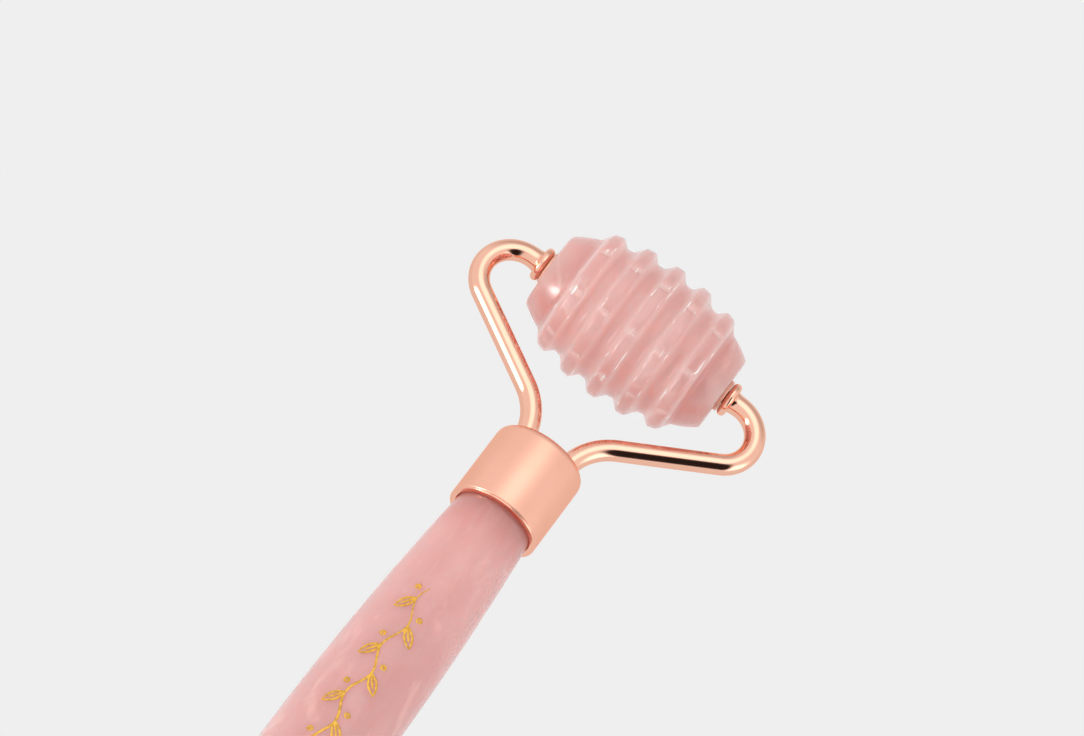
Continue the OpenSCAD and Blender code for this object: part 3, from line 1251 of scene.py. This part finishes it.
@dataclass
class InnerParts:
    """The plug and the stud inside each ferrule, which stay as the frame gives them."""

    nodes: tuple[str, ...] = ("yoke_plug", "stud")

    def dress(self, finishes: Finishes) -> None:
        """Gives them their finish."""
        for end in End:
            for node in self.nodes:
                piece = frame["nodes"][end.node(node)]
                piece.data.materials.clear()
                piece.data.materials.append(finishes.steel)
                log.info("%s: dressed", piece.name)


# ---------------------------------------------------------------- studio


@dataclass(frozen=True)
class SkyPatch:
    """An oval of the sky that is brighter or darker than the rest.

    Its middle lies in the direction way and its length runs along the direction along. The two
    half sizes are shares of the sky's radius, and soft is the share of them that its edge takes
    on each side.
    """

    way: Triple
    along: Triple
    half_length: float
    half_width: float
    soft: float
    light: Colour

    def share(self, shader: Shader) -> Socket:
        """How much of the patch there is in the direction looked at.

        The direction is measured from the patch's middle along its length, its width and its
        depth, each in halves of its size, and the patch ends where that distance is 1.

        Args:
            shader: The sky's tree.

        Returns:
            1 inside the patch and 0 outside it, with a soft edge.
        """
        out = Vector(self.way).normalized()
        across = out.cross(Vector(self.along)).normalized()
        turn = Matrix((across.cross(out), across, out)).transposed().to_euler()
        local = shader.node(
            "ShaderNodeMapping",
            {"vector_type": "TEXTURE"},
            {
                "Vector": shader.node("ShaderNodeTexCoord", output="Generated"),
                "Location": out,
                "Rotation": turn,
                "Scale": (self.half_length, self.half_width, self.half_length),
            },
        )
        length = {"operation": "LENGTH"}
        away = shader.node("ShaderNodeVectorMath", length, {0: local}, output="Value")
        return shader.smooth(away, 1 + self.soft, 1 - self.soft)


@dataclass
class Studio:
    """Camera, floor and sky."""

    tilt: float = math.radians(28.3)
    yaw: float = math.radians(-3.0)
    roll: float = math.radians(37.4)
    distance: float = 0.7926
    aim_x: float = -8.65 * MM
    aim_y: float = 24.56 * MM
    lens: float = 164.5
    sensor: float = 36.0
    clip: Range = (0.01, 20.0)
    floor_drop: float = 0.30
    floor_half: float = 6.5
    sky: Colour = (0.95, 0.95, 0.95)
    patches: tuple[SkyPatch, ...] = (
        # the dim side of the room, past the large roller
        SkyPatch((0.0, 1.0, 0.0), (1.0, 0.0, 0.0), 0.72, 0.72, 0.35, (0.60, 0.59, 0.58)),
        # the round fill on the right
        SkyPatch((0.90, -0.33, 0.26), (0.0, 0.0, 1.0), 0.44, 0.44, 0.40, (2.05, 2.02, 1.98)),
        # the low strip that lights the rims from the right
        SkyPatch((0.74, -0.66, -0.02), (0.66, 0.74, 0.0), 0.50, 0.15, 0.40, (1.6, 1.58, 1.55)),
        # the black flag that draws the dark line along the wires
        SkyPatch(
            (0.595, -0.49, 0.635), (0.39, -0.60, -0.70), 0.66, 0.27, 0.32, (0.02, 0.015, 0.015)
        ),
        # the glow over the tool
        SkyPatch((-0.06, 0.22, 0.97), (0.45, 0.87, -0.2), 0.43, 0.42, 0.32, (1.68, 1.66, 1.62)),
        # the strip on the left, and its hot core
        SkyPatch((-0.725, -0.605, 0.33), (0.18, 0.29, 0.94), 0.37, 0.15, 0.25, (3.4, 3.35, 3.25)),
        SkyPatch((-0.78, -0.59, 0.20), (0.0, 0.0, 1.0), 0.13, 0.07, 0.45, (20.0, 19.7, 19.0)),
    )

    def camera(self, rim: Vector) -> None:
        """Sets the camera from its lean and its aim on the yokes' plane.

        A turn by yaw about Y and then by tilt about X takes the frame to the lens's axis, and the
        roll turns the picture about it.

        Args:
            rim: The middle of the large ferrule's rim.
        """
        lean = Matrix.Rotation(-self.tilt, 3, "X") @ Matrix.Rotation(self.yaw, 3, "Y")
        turn = Matrix.Rotation(-self.roll, 3, "Z")
        to_camera = turn @ lean
        data = bpy.data.cameras.new("camera")
        data.sensor_width = self.sensor
        data.lens = self.lens
        data.clip_start, data.clip_end = self.clip
        camera = bpy.data.objects.new("camera", data)
        place = lean.transposed() @ Vector((self.aim_x, self.aim_y, self.distance))
        camera.matrix_world = Matrix.Translation(rim + place) @ to_camera.transposed().to_4x4()
        bpy.context.scene.collection.objects.link(camera)
        bpy.context.scene.camera = camera

    def floor(self) -> None:
        """A pale floor well below the object."""
        h, z = self.floor_half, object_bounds()[0].z - self.floor_drop
        mesh = bpy.data.meshes.new("floor")
        mesh.from_pydata([(-h, -h, z), (h, -h, z), (h, h, z), (-h, h, z)], [], [(0, 1, 2, 3)])
        mesh.materials.append(FloorPaint().make())
        made = bpy.data.objects.new("floor", mesh)
        bpy.context.scene.collection.objects.link(made)
        made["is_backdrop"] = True

    def sky_dome(self) -> None:
        """An even pale sky with its patches laid over it in order."""
        world = bpy.data.worlds.new("studio")
        world.use_nodes = True
        shader = Shader(world.node_tree)
        colour = self.sky
        for patch in self.patches:
            colour = shader.blend(patch.share(shader), colour, patch.light)
        surface = shader.node("ShaderNodeBackground", None, {"Color": colour, "Strength": 1.0})
        shader.node("ShaderNodeOutputWorld", None, {"Surface": surface})
        bpy.context.scene.world = world

    def build(self, rim: Vector) -> None:
        """Makes the whole studio."""
        self.camera(rim)
        self.floor()
        self.sky_dome()
        bpy.context.scene.view_settings.view_transform = "Standard"


def main() -> None:
    """Builds the object and its studio in order."""
    logging.basicConfig(level=logging.INFO, format="%(name)s %(message)s")
    handle = Handle()
    finishes = Finishes.make(handle)
    handle.build(finishes)
    for end in End:
        Ferrule(end).build(finishes)
    Yoke(
        End.LARGE,
        wire=1.78 * MM,
        loop_x=20.9 * MM,
        loop_r=5.85 * MM,
        knee_r=10.8 * MM,
        slope=math.radians(31.8),
        flange_r=3.05 * MM,
    ).build(finishes)
    Yoke(
        End.SMALL,
        wire=1.60 * MM,
        loop_x=13.7 * MM,
        loop_r=4.60 * MM,
        knee_r=7.0 * MM,
        slope=math.radians(32.0),
        flange_r=2.70 * MM,
    ).build(finishes)
    ToothedRoller(End.LARGE, length=35.1 * MM).build(finishes)
    SmoothRoller(End.SMALL, length=21.0 * MM).build(finishes)
    InnerParts().dress(finishes)
    Studio().build(Vector((0.0, handle.span()[1], 0.0)))


if __name__ == "__main__":
    main()
